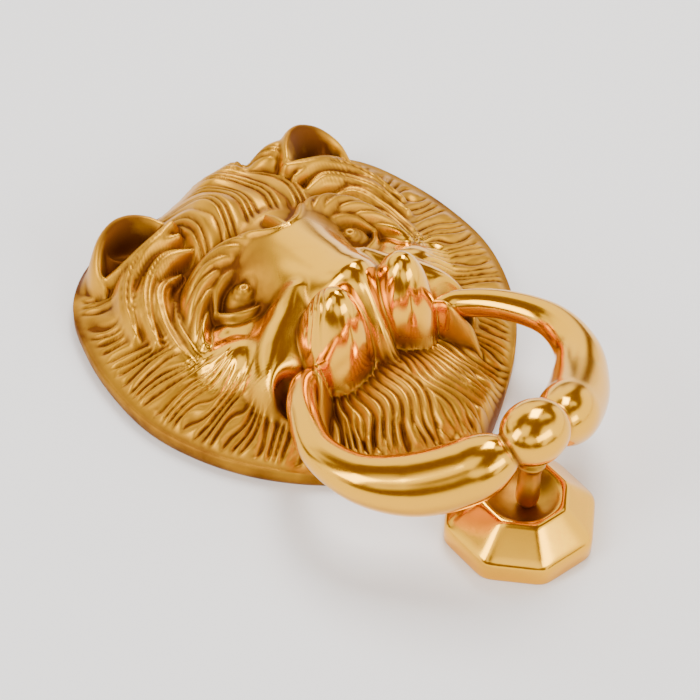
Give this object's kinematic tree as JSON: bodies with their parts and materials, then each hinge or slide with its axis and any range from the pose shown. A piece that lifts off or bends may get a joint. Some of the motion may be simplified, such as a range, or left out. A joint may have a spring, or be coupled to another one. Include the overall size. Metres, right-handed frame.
{
  "type": "door knocker",
  "caption": "Cast lion-head door knocker: a hollow-backed face carries a swinging ring whose striker lands on a separate faceted strike plate.",
  "frame": {"origin": "mouth of the lower threaded fixing hole behind the face, on the door plane", "axes": "+Z stands out from the door, +Y points up the door from the strike plate to the forehead, +X to the viewer's right"},
  "size_m": [0.1298, 0.1815, 0.0499],
  "materials": {
    "brass": "polished high spots, brown in the recesses",
    "steel": "drawn bar"
  },
  "bodies": {
    "fixed": {"lion_head": "brass", "pivot_rod": "steel", "strike_plate": "brass"},
    "ring": {"knocker_ring": "brass", "striker_stud": "brass"}
  },
  "joints": [
    {"name": "ring_hinge", "type": "hinge", "parent": "fixed", "child": "ring", "pos_m": [0, -0.025, 0.019], "axis": [-1, 0, 0], "range_deg": [0, 100]}
  ]
}
